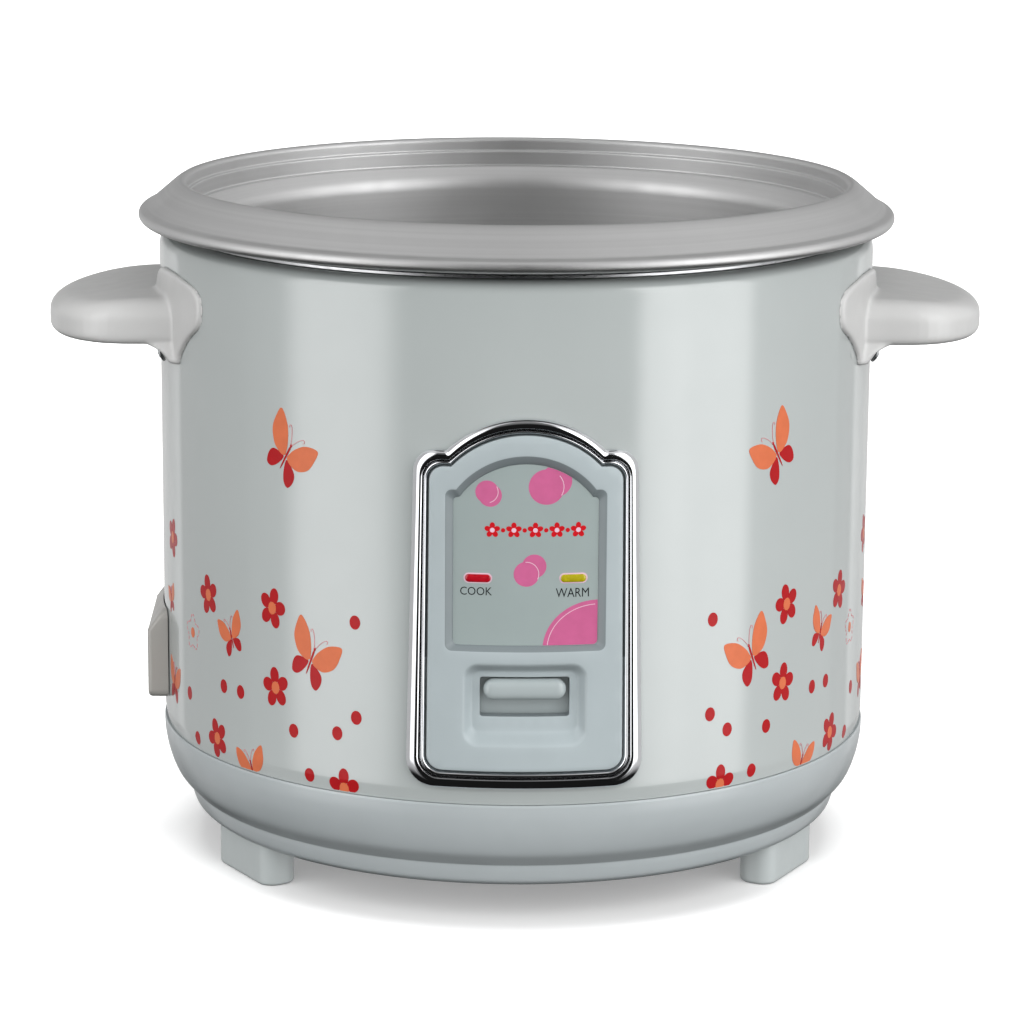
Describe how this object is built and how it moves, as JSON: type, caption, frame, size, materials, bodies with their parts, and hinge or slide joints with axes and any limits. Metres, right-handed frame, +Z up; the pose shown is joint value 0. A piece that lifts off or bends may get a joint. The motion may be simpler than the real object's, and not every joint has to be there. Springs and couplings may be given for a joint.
{
  "type": "rice cooker",
  "caption": "Drum rice cooker: a flanged aluminium pan lifts out of a heated drum with side handles, a cook switch and a power inlet.",
  "frame": {"origin": "on the floor under the middle of the drum, at the bottom of the feet", "axes": "+Z up, the control panel faces -Y, the handles point along +X and -X, the power inlet faces -X"},
  "size_m": [0.314, 0.2536, 0.2277],
  "materials": {
    "shell_paint": "light grey gloss enamel with printed flowers and butterflies",
    "bowl_plastic": "grey moulded, semi-gloss",
    "inlet_plastic": "grey moulded, satin",
    "foot_plastic": "grey moulded, satin",
    "handle_plastic": "warm white moulded, gloss",
    "fascia_plastic": "pale grey moulded, semi-gloss",
    "label_print": "printed film, satin",
    "knob_plastic": "white moulded, gloss",
    "red_lens": "dark red translucent",
    "yellow_lens": "olive yellow translucent",
    "chrome": "plated, mirror",
    "pan_aluminium": "spun and satin anodised",
    "cast_aluminium": "cast and turned",
    "sheet_steel": "galvanised sheet",
    "steel": "zinc plated",
    "spring_steel": "drawn wire",
    "brass": "bare",
    "ferrite": "sintered, dark",
    "phenolic": "dark moulded",
    "ceramic": "unglazed steatite",
    "bulb_glass": "clear with a neon tint",
    "wire_sleeve": "glass fibre sleeve"
  },
  "bodies": {
    "housing": {"base_bowl": "bowl_plastic", "body_shell": "shell_paint", "bottom_plate": "sheet_steel", "bottom_screw_1": "steel", "bottom_screw_2": "steel", "bottom_screw_3": "steel", "cook_lamp_bulb": "bulb_glass", "cook_lamp_lens": "red_lens", "element_terminal_left": "brass", "element_terminal_right": "brass", "foot_back": "foot_plastic", "foot_front_left": "foot_plastic", "foot_front_right": "foot_plastic", "handle_left": "handle_plastic", "handle_right": "handle_plastic", "handle_screw_left_1": "steel", "handle_screw_left_2": "steel", "handle_screw_right_1": "steel", "handle_screw_right_2": "steel", "heating_plate": "cast_aluminium", "inlet_housing": "inlet_plastic", "inlet_pin_earth": "brass", "inlet_pin_live": "brass", "inlet_pin_neutral": "brass", "inlet_screw_1": "steel", "inlet_screw_2": "steel", "inner_liner": "sheet_steel", "label_plate": "label_print", "lamp_holder": "phenolic", "lamp_wire": "wire_sleeve", "lever_bracket": "steel", "lever_pin": "steel", "magnet_spring": "spring_steel", "microswitch": "phenolic", "panel_frame": "chrome", "panel_plate": "fascia_plastic", "plate_leg_1": "cast_aluminium", "plate_leg_2": "cast_aluminium", "plate_leg_3": "cast_aluminium", "plate_screw_1": "steel", "plate_screw_2": "steel", "plate_screw_3": "steel", "sensor_sleeve": "sheet_steel", "sensor_spring": "spring_steel", "supply_wire": "wire_sleeve", "terminal_block": "ceramic", "thermal_fuse": "ceramic", "warm_heater": "wire_sleeve", "warm_lamp_bulb": "bulb_glass", "warm_lamp_lens": "yellow_lens"},
    "pan": {"cooking_pan": "pan_aluminium"},
    "lever": {"lever_knob": "knob_plastic", "lever_arm": "steel"},
    "magnet": {"magnet_cup": "steel", "magnet": "ferrite", "magnet_rod": "steel", "rod_collar": "steel"},
    "sensor": {"sensor_cap": "cast_aluminium", "ferrite_core": "ferrite"},
    "plunger": {"switch_plunger": "knob_plastic"}
  },
  "joints": [
    {"name": "pan_lift", "type": "slide", "parent": "housing", "child": "pan", "axis": [0, 0, 1], "range_m": [0, 0.135]},
    {"name": "lever_press", "type": "hinge", "parent": "housing", "child": "lever", "pos_m": [0, -0.07, 0.076], "axis": [1, 0, 0], "range_deg": [0, 6.5]},
    {"name": "magnet_lift", "type": "slide", "parent": "housing", "child": "magnet", "axis": [0, 0, 1], "range_m": [0, 0.00794], "stiffness_N_per_m": 306, "springref_m": -0.0035, "deforming": ["magnet_spring"]},
    {"name": "plunger_travel", "type": "slide", "parent": "housing", "child": "plunger", "axis": [0, 0, 1], "range_m": [0, 0.0026]},
    {"name": "sensor_rise", "type": "slide", "parent": "housing", "child": "sensor", "axis": [0, 0, 1], "range_m": [0, 0.003], "deforming": ["sensor_spring"]}
  ],
  "couplings": [
    {"joint": "lever_press", "follows": "magnet_lift", "rad_per_m": 14.286},
    {"joint": "plunger_travel", "follows": "magnet_lift", "ratio": 0.29286},
    {"joint": "sensor_rise", "follows": "pan_lift", "ratio": 0.0222}
  ]
}
